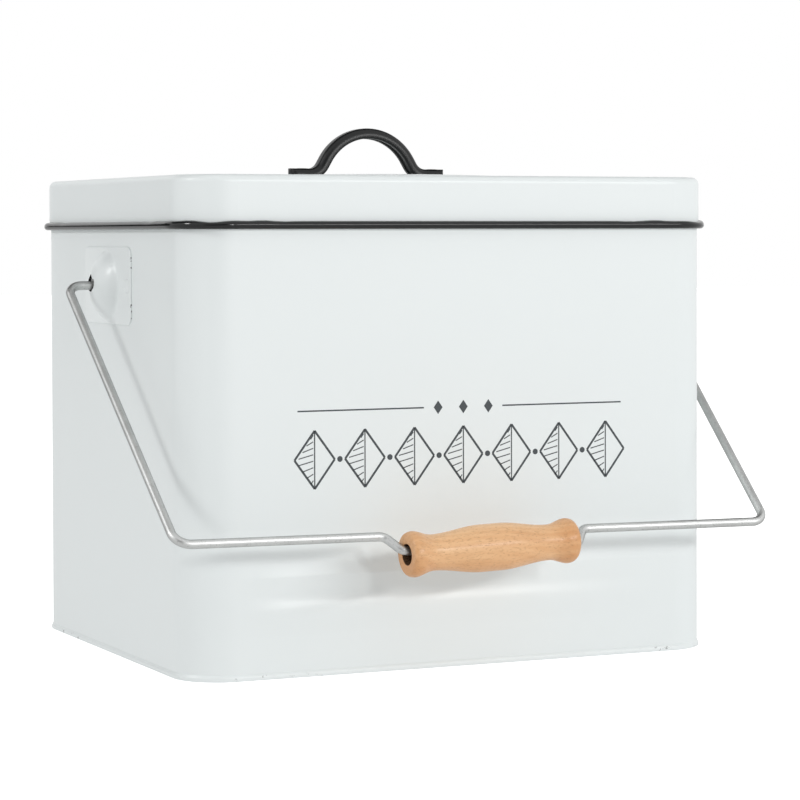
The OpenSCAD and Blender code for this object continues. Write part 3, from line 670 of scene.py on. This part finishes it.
class CADDY_OT_stage(bpy.types.Operator):
    """Adds the floor, the light and the camera"""

    bl_idname = "caddy.stage"
    bl_label = "Stage"

    def execute(self, context):
        light = context.scene.caddy_light
        context.scene.view_settings.view_transform = "Standard"
        self.world(context, light.surround)
        self.floor(light.glow)
        ceiling = self.flag("ceiling_flag", (0, 1.2, 2.3), (0, 0, 0.1), (5.0, 2.2))
        ceiling.visible_diffuse = False
        self.flag("camera_flag", (-1.15, -2.15, 0.85), (0, 0, 0.15), (1.9, 1.9))
        back = self.flag("back_flag", (-1.69, 2.70, 0.5), (-0.12, 0.0, 0.2), (1.6, 1.6))
        back.visible_diffuse = back.visible_shadow = False
        self.lamp("front_lamp", (0.06, -1.95, 0.62), (0.0, -0.1, 0.10), (0.22, 0.2), light.front)
        self.lamp("left_lamp", (-1.9, 0.02, 1.28), (-0.12, 0.0, 0.10), (0.35, 0.5), light.left)
        self.lamp("right_lamp", (0.86, -1.75, 0.70), (0.1, -0.1, 0.12), (1.1, 0.14), light.right)
        self.camera(context)
        return {"FINISHED"}

    def world(self, context, strength):
        world = bpy.data.worlds.new("surround")
        context.scene.world = world
        world.use_nodes = True
        tree = world.node_tree
        background = tree.nodes["Background"]
        path = tree.nodes.new("ShaderNodeLightPath")
        seen = path.outputs["Is Camera Ray"]
        for ray in ("Is Transmission Ray", "Is Glossy Ray"):
            most = tree.nodes.new("ShaderNodeMath")
            most.operation = "MAXIMUM"
            tree.links.new(seen, most.inputs[0])
            tree.links.new(path.outputs[ray], most.inputs[1])
            seen = most.outputs[0]
        shown = tree.nodes.new("ShaderNodeMapRange")
        shown.inputs["To Min"].default_value = strength
        shown.inputs["To Max"].default_value = 1.0
        tree.links.new(seen, shown.inputs["Value"])
        tree.links.new(shown.outputs[0], background.inputs["Strength"])
        background.inputs["Color"].default_value = (1, 1, 1, 1)

    def floor(self, glow):
        deselect()
        bpy.ops.mesh.primitive_plane_add(size=14, location=(0, 0, -0.0001))
        floor = bpy.context.object
        floor.name = "floor"
        pale = Finish("pale_floor", Roughness=0.9, Specular_IOR_Level=0.0)
        seen = pale.node("ShaderNodeLightPath", output="Is Camera Ray")
        grain = pale.noise(pale.place(), 40, 2)
        tone = pale.mix(grain, (0.53, 0.53, 0.53), (0.56, 0.56, 0.56))
        shine = pale.mix(seen, (glow, glow, glow), (1, 1, 1))
        pale.set(Base_Color=tone, Emission_Color=shine, Emission_Strength=1.0)
        floor.data.materials.append(pale.material)

    def flag(self, name, place, target, size):
        """A black cloth that keeps the surround off one side, as in a photographer's studio."""
        deselect()
        bpy.ops.mesh.primitive_plane_add(size=1, location=place, rotation=aimed(place, target, "Z"))
        cloth = bpy.context.object
        cloth.name = name
        cloth.scale = (size[0], size[1], 1)
        bpy.ops.object.transform_apply(location=False, rotation=False, scale=True)
        tone = tuple(bpy.context.scene.caddy_colours.cloth)
        made = bpy.data.materials.get("flag_cloth") or felt_and_painted_shade("flag_cloth", tone)
        cloth.data.materials.append(made)
        cloth.visible_camera = False
        return cloth

    def lamp(self, name, place, target, size, power):
        deselect()
        bpy.ops.object.light_add(type="AREA", location=place)
        lamp = bpy.context.object
        lamp.name = name
        lamp.rotation_euler = aimed(place, target, "-Z")
        lamp.data.shape = "RECTANGLE"
        lamp.data.size, lamp.data.size_y = size
        lamp.data.energy = power

    def camera(self, context):
        yaw, pitch, roll = math.radians(25.05), math.radians(1.46), math.radians(-0.137)
        level = math.cos(pitch)
        ahead = Vector((math.sin(yaw) * level, math.cos(yaw) * level, -math.sin(pitch)))
        right = Vector((math.cos(yaw), -math.sin(yaw), 0))
        up = right.cross(ahead)
        right, up = (
            math.cos(roll) * right + math.sin(roll) * up,
            math.cos(roll) * up - math.sin(roll) * right)
        deselect()
        bpy.ops.object.camera_add()
        camera = bpy.context.object
        camera.name = "photo_camera"
        turned = Matrix((right, up, -ahead)).transposed().to_4x4()
        camera.matrix_world = Matrix.Translation((-0.5077, -1.1696, 0.1790)) @ turned
        film, side, focal = 36, 800, 2863
        camera.data.sensor_width = film
        camera.data.lens = film * focal / side
        camera.data.shift_x, camera.data.shift_y = -46 / side, -93 / side
        camera.data.clip_start = 0.05
        context.scene.camera = camera


class CADDY_OT_fittings(bpy.types.Operator):
    """Gives the lid, hinges, rivets, liner and filter their finish"""

    bl_idname = "caddy.fittings"
    bl_label = "Lid and fittings"

    def execute(self, context):
        made = finishes()
        plan = {
            "white_coat": ("lid_shell", "ear_rivets_left", "ear_rivets_right"),
            "black_enamel": ("hinge_leaf_body_left", "hinge_leaf_body_right", "hinge_leaf_lid_left",
                             "hinge_leaf_lid_right", "handle_rivets"),
            "bright_steel": ("hinge_pin_left", "hinge_pin_right",
                             "hinge_rivets_body", "hinge_rivets_lid"),
            "liner_plastic": ("inner_bucket",),
            "filter_plastic": ("filter_holder", "filter_grille"),
            "charcoal": ("charcoal_pad",),
        }
        for finish, nodes in plan.items():
            for node in nodes:
                self.dress(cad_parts[node], made[finish])
        return {"FINISHED"}

    def dress(self, piece, finish):
        """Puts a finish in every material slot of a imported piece."""
        for place in piece.material_slots:
            place.material = finish
        if not piece.material_slots:
            piece.data.materials.append(finish)


class CADDY_OT_wall(bpy.types.Operator):
    """Presses the wall with its two swaged ribs, drawn-in neck, rolled mouth and back seam"""

    bl_idname = "caddy.wall"
    bl_label = "Body wall"

    def execute(self, context):
        sizes = context.scene.caddy_wall
        foot, shoulder, sheet, neck = 0.0005, sizes.shoulder, sizes.sheet, sizes.neck
        levels = [
            foot, 0.008, 0.013, *[0.016 + 0.0005 * i for i in range(67)],
            0.055, 0.080, 0.105, 0.130, 0.155, 0.172, shoulder]
        hem = sizes.hem / 2
        roll = (-neck - hem, sizes.mouth - hem)
        section = [
            *[(0, high) for high in levels], (-neck, shoulder + neck), *arc(roll, hem, 0, 250, 14),
            (-neck - sheet, shoulder + neck - 0.4 * sheet),
            *[(-sheet, high - 0.4 * sheet * (high == shoulder)) for high in reversed(levels)]]
        half_x, half_y = sizes.wide / 2, sizes.deep / 2
        wall = swept_round(section, half_x, half_y, sizes.corner, 50)
        for vertex in wall.data.vertices:
            x, y, z = vertex.co
            if abs(y) > half_y - 2 * sheet and abs(x) < half_x - sizes.corner + 0.0001:
                vertex.co.y += math.copysign(self.swage(z, sizes.rib_rise) * self.share(x), y)
        long, low = shoulder - 0.0072, 0.0042
        seam = slab(rounded_plan(0.007, long, 0.001, 3),
                    lambda x, z: Vector((x, half_y - 0.0001, low + long / 2 + z)), (0, 0.0009, 0))
        bevel(seam, 0.0003, 3, 50)
        piece = join(wall, seam)
        smooth(piece, 40)
        settle(piece, "pressed_wall", "bin", "white_coat", "white_coat", "body_shell")
        return {"FINISHED"}

    def swage(self, high, rise):
        """How far the sheet is out at a height: two ramps, each with a slow return."""
        if high > 0.0410:
            upper = min(max((0.0470 - high) / 0.0060, 0), 1) ** 1.35
        else:
            upper = max((high - 0.0332) / 0.0078, 0)
        if high > 0.0272:
            lower = ease((0.0330 - high) / 0.0058)
        else:
            lower = 1 - ease((0.0272 - high) / 0.0110)
        return rise * max(upper, 1.05 * lower)

    def share(self, across):
        """The ribs are deepest on the left and run out before the corners."""
        return ease((across + 0.0990) / 0.0190) * ease((0.0990 - across) / 0.0750)


class CADDY_OT_foot(bpy.types.Operator):
    """Folds the base's rim round the wall's foot, with a soft roll, and sets the base in it"""

    bl_idname = "caddy.foot"
    bl_label = "Folded foot"

    def execute(self, context):
        sizes = context.scene.caddy_wall
        proud, high = sizes.seam_proud, sizes.seam_high
        section = [
            (-0.0010, 0), (proud - 0.0003, 0), (proud - 0.0001, 0.0001), (proud, 0.0004),
            (proud, 0.50 * high), (0.93 * proud, 0.60 * high), (0.70 * proud, 0.73 * high),
            (0.38 * proud, 0.86 * high), (0.12 * proud, 0.95 * high), (0.00002, high),
            (-0.0003, high + 0.0001), (-0.0010, sizes.floor)]
        rim = swept_round(section, sizes.wide / 2, sizes.deep / 2, sizes.corner, 20)
        inset, sheet = 0.0009, 0.0005
        plan = rounded_plan(
            sizes.wide - 2 * inset, sizes.deep - 2 * inset, sizes.corner - inset, 12)
        base = slab(plan, lambda x, y: Vector((x, y, sizes.floor - sheet)), (0, 0, sheet))
        piece = join(rim, base)
        smooth(piece, 40)
        settle(piece, "folded_foot", "bin", "white_coat", "seam_coat", "bottom_pan")
        return {"FINISHED"}


class CADDY_OT_edging(bpy.types.Operator):
    """Models the rolled black edging, which puckers a little at the corners"""

    bl_idname = "caddy.edging"
    bl_label = "Lid edging"
    bead = 0.0016

    def execute(self, context):
        half_x, half_y, radius = lid_high.x, 0.1007, 0.0212
        low = edging_low.z - 0.0003
        middle = edging_high.x - self.bead - half_x
        top = low + 2 * self.bead
        roll = arc((middle, low + self.bead), self.bead, -80, 80, 10)
        section = [
            (middle - 0.0006, low + 0.0003), *roll, (middle - 0.0007, top + 0.0001),
            (-0.0001, top - 0.0004), (-0.0001, low + 0.0004)]
        corner = (half_x - radius, half_y - radius)
        outer_gap, inner_gap = 0.0865, 0.0535
        front = outline(section, lambda out, high: Vector((-outer_gap, half_y + out, high)))
        carry(front, course(corner, outer_gap, 4, 40, 50, 24))
        rear = slab(section, lambda out, high: Vector((inner_gap, half_y + out, high)),
                    (-2 * inner_gap, 0, 0))
        piece = join(front, rear)
        for vertex in piece.data.vertices:
            self.pucker(vertex, corner, low + self.bead)
        smooth(piece, 50)
        settle(piece, "rolled_edging", "lid", "black_enamel", "black_enamel", "lid_edging")
        return {"FINISHED"}

    def pucker(self, vertex, corner, middle):
        """Waves the upper edge where the strip was gathered round a corner."""
        x, y, z = vertex.co
        share = max(0.0, (z - middle) / self.bead)
        away = math.hypot(max(corner[0] - abs(x), 0), max(corner[1] - abs(y), 0))
        nearness = math.exp(-(away / 0.020) ** 2)
        way = away
        if away == 0:
            way = math.atan2(abs(y) - corner[1], abs(x) - corner[0]) * 0.021
        short, long = 2 * math.pi * way / 0.016, 2 * math.pi * way / 0.031
        wave = math.sin(short + 0.9 * x * 40) * 0.6 + math.sin(long)
        vertex.co.z = z + share * nearness * 0.00028 * wave


class CADDY_OT_strap_handle(bpy.types.Operator):
    """Models the pressed strap handle with its channel section"""

    bl_idname = "caddy.strap_handle"
    bl_label = "Strap handle"

    def execute(self, context):
        sizes = context.scene.caddy_strap
        strap = self.bowed(sizes, 0, sizes.wide, 0.0029, 0.0010)
        plan = slab(rounded_plan(sizes.long, sizes.wide, sizes.foot_corner, 8),
                    lambda x, y: Vector((x, y, sizes.foot_under)), (0, 0, 0.03))
        cut(strap, plan, "INTERSECT")
        channel = self.bowed(
            sizes, sizes.depth - sizes.hollow, sizes.wide - 2 * sizes.flange, 0.0005, 0.0002)
        cut(strap, channel, "DIFFERENCE")
        bevel(strap, 0.00022, 2, 40)
        smooth(strap, 40)
        settle(strap, "strap_handle", "lid", "black_enamel", "strap_enamel", "lid_handle")
        return {"FINISHED"}

    def bowed(self, sizes, inset, width, edge, inner):
        """A solid strap from foot to foot, taken back by the inset from its outer face."""
        slope = sizes.slope
        heel = sizes.heel + inset
        bow = sizes.bow - inset
        top = sizes.foot_top - inset
        tangent = (bow * math.sin(slope), sizes.bow_centre + bow * math.cos(slope))
        corner = tangent[0] + (tangent[1] - top) / math.tan(slope)
        trim = heel * math.tan(slope / 2)
        leg = (tangent[1] - top) / math.sin(slope) - trim
        end = sizes.long / 2 - inset + (0.001 if inset == 0 else 0)
        depth = sizes.depth + 0.004 * (inset > 0)
        deep, flat = 1.15 * edge, width / 2 - edge
        section = [
            *[(flat + edge * c, deep * (s - 1)) for c, s in arc((0, 0), 1, 0, 90, 10)],
            *[(edge * c - flat, deep * (s - 1)) for c, s in arc((0, 0), 1, 90, 180, 10)],
            *arc((inner - width / 2, inner - depth), inner, 180, 270, 6),
            *arc((width / 2 - inner, inner - depth), inner, 270, 360, 6)]
        strap = outline(section, lambda y, out: Vector((-end, y, top + out)))
        foot = end - corner - trim
        up, down = (math.cos(slope), math.sin(slope)), (math.cos(slope), -math.sin(slope))
        carry(strap, [
            ((foot, 0, 0),), (10, -slope, (-corner - trim, 0, top + heel), (0, 1, 0)),
            ((leg * up[0], 0, leg * up[1]),), (48, 2 * slope, (0, 0, sizes.bow_centre), (0, 1, 0)),
            ((leg * down[0], 0, leg * down[1]),),
            (10, -slope, (corner + trim, 0, top + heel), (0, 1, 0)), ((foot, 0, 0),)])
        return strap


class CADDY_OT_ears(bpy.types.Operator):
    """Models the pressed ears: a coated plate, a soft dome, a torn wire hole, and near-black
    painted shade on the dome's inside and on a disc behind the hole
    """

    bl_idname = "caddy.ears"
    bl_label = "Ears"

    def execute(self, context):
        for side, name in ((-1, "left"), (1, "right")):
            self.ear(context, side, name)
        return {"FINISHED"}

    def ear(self, context, side, name):
        ear, bail = context.scene.caddy_ears, context.scene.caddy_bail
        wall = context.scene.caddy_wall.wide / 2
        pivot = Vector((side * wall, bail.pivot_back, bail.pivot_height))
        out = Vector((side, 0, 0))
        ball = (ear.dome ** 2 / 4 + ear.dome_rise ** 2) / (2 * ear.dome_rise)
        edge = ear.plate_high / 2 - 0.0002

        def rise(reach):
            cap = math.sqrt(ball ** 2 - reach ** 2) - (ball - ear.dome_rise)
            blend = 0.0013
            return ear.sheet + max(cap, 0) + max(blend - abs(cap), 0) ** 2 / (4 * blend)

        ring = 0.0061
        reaches = [ear.hole / 2, ring, *[ring + (edge - ring) * i / 26 for i in range(1, 27)]]
        profile = [(reach, rise(reach) + 0.00001) for reach in reaches]
        profile.append((edge + 0.0001, ear.sheet - 0.00005))
        dome = spun(profile, lambda reach, high: pivot + out * high + Vector((0, 0, reach)),
                    pivot, (1, 0, 0), 96)
        for vertex in dome.data.vertices:
            spoke = Vector((0, vertex.co.y - pivot.y, vertex.co.z - pivot.z))
            if spoke.length < ear.hole / 2 + 0.0001:
                reach = self.torn(math.atan2(spoke.y, spoke.z))
                vertex.co = pivot + spoke.normalized() * reach + out * rise(reach)
        if sum(face.normal.x * side for face in dome.data.polygons) < 0:
            open_mesh(dome)
            bpy.ops.mesh.flip_normals()
            mode("OBJECT")
        # The dome's inner shell and rim get the near-black painted shade.
        wear(dome, "ear_coat", "dark_inside")
        modify(dome, "SOLIDIFY", thickness=0.0007, offset=-1, material_offset=1,
               material_offset_rim=1)
        sunk, lifted = 0.0003, 0.0001
        plate = slab(rounded_plan(ear.plate_long, ear.plate_high, ear.corner, 8),
                     lambda y, z: Vector((side * (wall - sunk), pivot.y + y, pivot.z + z)),
                     tuple(out * (ear.sheet + sunk)))
        bevel(plate, 0.0005, 4, 50)
        wear(plate, "ear_coat")
        outside = side * (wall + ear.sheet + lifted)
        # A near-black disc under the dome: painted shade seen through the wire hole.
        painted_shade_disc = slab(arc((0, 0), 0.0125, 0, 351, 39),
                    lambda y, z: Vector((outside, pivot.y + y, pivot.z + z)), tuple(out * lifted))
        wear(painted_shade_disc, "dark_inside")
        piece = join(dome, plate, painted_shade_disc)
        smooth(piece, 40)
        settle(piece, "pressed_ear_" + name, "bin", "white_coat", None, "ear_plate_" + name)

    def torn(self, turn):
        """Reach of the torn hole's edge at an angle from straight up, with a spike on top."""
        edge = (
            (-3.15, 2.6), (-2.2, 2.8), (-1.75, 3.6), (-1.5, 4.0), (-1.2, 4.2), (-0.90, 4.3),
            (-0.65, 3.5), (-0.35, 3.6), (-0.10, 4.2), (0.16, 5.0), (0.40, 4.3), (0.70, 4.1),
            (0.95, 4.4), (1.3, 3.9), (1.75, 3.2), (2.4, 2.8), (3.15, 2.6))
        for (start, low), (end, high) in zip(edge, edge[1:]):
            if start <= turn <= end:
                millimetres = low + (high - low) * (turn - start) / (end - start)
        return millimetres / 1000


class CADDY_OT_bail(bpy.types.Operator):
    """Bends the bail's wire, with its stepped crossbar and headed ends"""

    bl_idname = "caddy.bail"
    bl_label = "Bail wire"

    def execute(self, context):
        sizes = context.scene.caddy_bail
        grip = context.scene.caddy_grip
        inner = grip.long / 2 + sizes.step_bend * math.tan(sizes.step_slant / 2) - 0.001
        outer = inner + sizes.step / math.tan(sizes.step_slant)
        low, high = sizes.reach, sizes.reach + sizes.step
        crossbar = [
            (-sizes.half_bottom, low), (-outer, low), (-inner, high),
            (inner, high), (outer, low), (sizes.half_bottom, low)]
        path = bent_path(
            [Vector((-sizes.inner_end, 0)), Vector((-sizes.half_top, 0)),
             *[leaned(sizes, *place) for place in crossbar],
             Vector((sizes.half_top, 0)), Vector((sizes.inner_end, 0))],
            [sizes.ear_bend, sizes.arm_bend, *[sizes.step_bend] * 4, sizes.arm_bend,
             sizes.ear_bend])
        deselect()
        bpy.ops.curve.primitive_bezier_curve_add()
        wire = bpy.context.object
        curve = wire.data
        curve.splines.clear()
        first, last, head = path[0], path[-1], Vector((0.0015, 0))
        path = [first - head, first - 0.05 * head, *path, last + 0.05 * head, last + head]
        line = curve.splines.new("POLY")
        line.points.add(len(path) - 1)
        heads = (0, 1, len(path) - 2, len(path) - 1)
        for number, (place, point) in enumerate(zip(line.points, path)):
            place.co = (*in_bail_plane(sizes, point), 1)
            place.radius = 1.73 if number in heads else 1
        curve.dimensions = "3D"
        curve.bevel_depth = sizes.wire / 2
        curve.bevel_resolution = 8
        curve.use_fill_caps = True
        alone(wire)
        bpy.ops.object.convert(target="MESH")
        tidy_mesh(wire)
        smooth(wire, 40)
        settle(wire, "bent_bail", "bail", "galvanised_wire", "galvanised_wire", "bail_wire")
        return {"FINISHED"}


def leaned(sizes, x, reach):
    """A point of the crossbar, turned by the lean about the middle of the pivot."""
    return Vector((
        x * math.cos(sizes.lean) - reach * math.sin(sizes.lean),
        -x * math.sin(sizes.lean) - reach * math.cos(sizes.lean)))


def in_bail_plane(sizes, point):
    """The place of a point of the bail's own plane."""
    turn = math.pi / 2 - sizes.rest
    return (
        point.x, sizes.pivot_back + point.y * math.cos(turn),
        sizes.pivot_height + point.y * math.sin(turn))


class CADDY_OT_grip(bpy.types.Operator):
    """Turns the wooden grip with its flared ends and bore"""

    bl_idname = "caddy.grip"
    bl_label = "Wooden grip"

    def execute(self, context):
        sizes, bail = context.scene.caddy_grip, context.scene.caddy_bail
        half, flare, neck = sizes.long / 2, sizes.flare / 2, sizes.neck / 2
        flare_reach, end = 0.003, flare - 0.0016

        def wave(low, high, share):
            return low + (high - low) * (1 - math.cos(math.pi * share)) / 2

        def radius(x):
            if x < flare_reach:
                return end + (flare - end) * math.sqrt(max(0, 1 - (1 - x / flare_reach) ** 2))
            if x < sizes.neck_reach:
                share = (x - flare_reach) / (sizes.neck_reach - flare_reach)
                return wave(flare, neck, share ** 0.85)
            share = (x - sizes.neck_reach) / (0.84 * (half - sizes.neck_reach))
            return wave(neck, sizes.belly / 2, min(share, 1))

        steps = [flare_reach * (1 - math.cos(math.radians(11.25 * i))) for i in range(9)]
        steps += [flare_reach + (half - flare_reach) * i / 44 for i in range(1, 45)]
        outer = [(x - half, radius(x)) for x in steps]
        bore, lip = sizes.bore / 2, 0.0006
        mouth = [
            (half, bore + 0.55 * (end - bore)), (half, bore + lip),
            (half - 0.25 * lip, bore + 0.4 * lip), (half - lip, bore)]
        profile = [
            *outer, *[(-x, r) for x, r in reversed(outer[:-1])],
            *mouth, *[(-x, r) for x, r in reversed(mouth)]]
        grip = spun(profile, lambda x, r: Vector((x, 0, r)), (0, 0, 0), (1, 0, 0), 96, closed=True)
        wear(grip, "beech", "bore_wood")
        # Faces inside the bore get the dark painted shade.
        for face in grip.data.polygons:
            reach = math.hypot(face.center.y, face.center.z)
            face.material_index = int(reach < bore + 0.0004)
        smooth(grip, 42)
        middle = leaned(bail, sizes.aside, bail.reach + bail.step)
        swing = Matrix.Rotation(math.pi / 2 - bail.rest, 4, "X")
        slant = Matrix.Rotation(sizes.tilt - bail.lean, 4, "Z")
        grip.matrix_world = Matrix.Translation(in_bail_plane(bail, middle)) @ swing @ slant
        alone(grip)
        bpy.ops.object.transform_apply(location=True, rotation=True, scale=True)
        settle(grip, "turned_grip", "grip", "beech", None, "bail_grip")
        return {"FINISHED"}


class CADDY_OT_ornament(bpy.types.Operator):
    """Prints a plain band of hatched lozenges and dots on the front"""

    bl_idname = "caddy.ornament"
    bl_label = "Printed band"

    def execute(self, context):
        pieces = []
        count, pitch, middle, upper = 7, 0.0222, 0.0878, 0.1076
        wide, high, dot = 0.0088, 0.0118, 0.0012
        for i in range(count):
            x = (i - (count - 1) / 2) * pitch
            pieces += self.lozenge(x, middle, wide, high)
            if i:
                pieces.append(self.patch(arc((x - pitch / 2, middle), dot, 0, 337.5, 15)))
        for x in (-0.0115, 0.0, 0.0115):
            pieces.append(self.patch(self.tips(x, upper, 0.0020, 0.0028)))
        for side in (-1, 1):
            pieces.append(self.bar((side * 0.018, upper), (side * 0.074, upper), 0.0006))
        settle(join(*pieces), "printed_band", "bin", "black_enamel", "printed_ink")
        return {"FINISHED"}

    def patch(self, points):
        """A flat patch of ink on the front wall."""
        return slab(points, lambda x, z: Vector((x, -0.10, z)), (0, -0.00004, 0))

    def bar(self, start, end, width):
        start, end = Vector(start), Vector(end)
        along = (end - start).normalized()
        side = Vector((-along.y, along.x)) * width / 2
        return self.patch([start - side, end - side, end + side, start + side])

    def tips(self, x, z, wide, high):
        return [(x + wide, z), (x, z + high), (x - wide, z), (x, z - high)]

    def lozenge(self, x, z, wide, high):
        """An outlined lozenge with a slanted hatch on its left half."""
        tips = self.tips(x, z, wide, high)
        made = [self.bar(*pair, 0.0009) for pair in zip(tips, tips[1:] + tips[:1])]
        lines, rise = 9, 0.0008
        for i in range(1, lines):
            level = -high + 2 * high * i / lines
            left = wide * (1 - abs(level) / high)
            if left > 0.0012:
                made.append(self.bar(
                    (x - left * 0.90, z + level - rise), (x - 0.0006, z + level + rise), 0.00042))
        made.append(self.bar((x, z - high * 0.93), (x, z + high * 0.93), 0.0005))
        return made


PIECES = (
    CADDY_OT_stage, CADDY_OT_fittings, CADDY_OT_wall, CADDY_OT_foot, CADDY_OT_edging,
    CADDY_OT_strap_handle, CADDY_OT_ears, CADDY_OT_bail, CADDY_OT_grip, CADDY_OT_ornament)


class CADDY_PT_pieces(bpy.types.Panel):
    """Lists the pieces of the caddy"""

    bl_label = "Compost caddy"
    bl_space_type = "VIEW_3D"
    bl_region_type = "UI"
    bl_category = "Caddy"

    def draw(self, context):
        for piece in PIECES:
            self.layout.operator(piece.bl_idname)


GROUPS = {
    "caddy_wall": CaddyWallSizes, "caddy_bail": CaddyBailSizes, "caddy_grip": CaddyGripSizes,
    "caddy_strap": CaddyStrapSizes, "caddy_ears": CaddyEarSizes, "caddy_colours": CaddyColours,
    "caddy_light": CaddyLight}


def register():
    for kind in (*GROUPS.values(), *PIECES, CADDY_PT_pieces):
        bpy.utils.register_class(kind)
    for name, group in GROUPS.items():
        setattr(bpy.types.Scene, name, bpy.props.PointerProperty(type=group))


def unregister():
    for name in GROUPS:
        delattr(bpy.types.Scene, name)
    for kind in (CADDY_PT_pieces, *reversed(PIECES), *reversed(GROUPS.values())):
        bpy.utils.unregister_class(kind)


def main():
    register()
    for piece in PIECES:
        getattr(bpy.ops.caddy, piece.bl_idname.split(".")[1])()


if __name__ == "__main__":
    main()
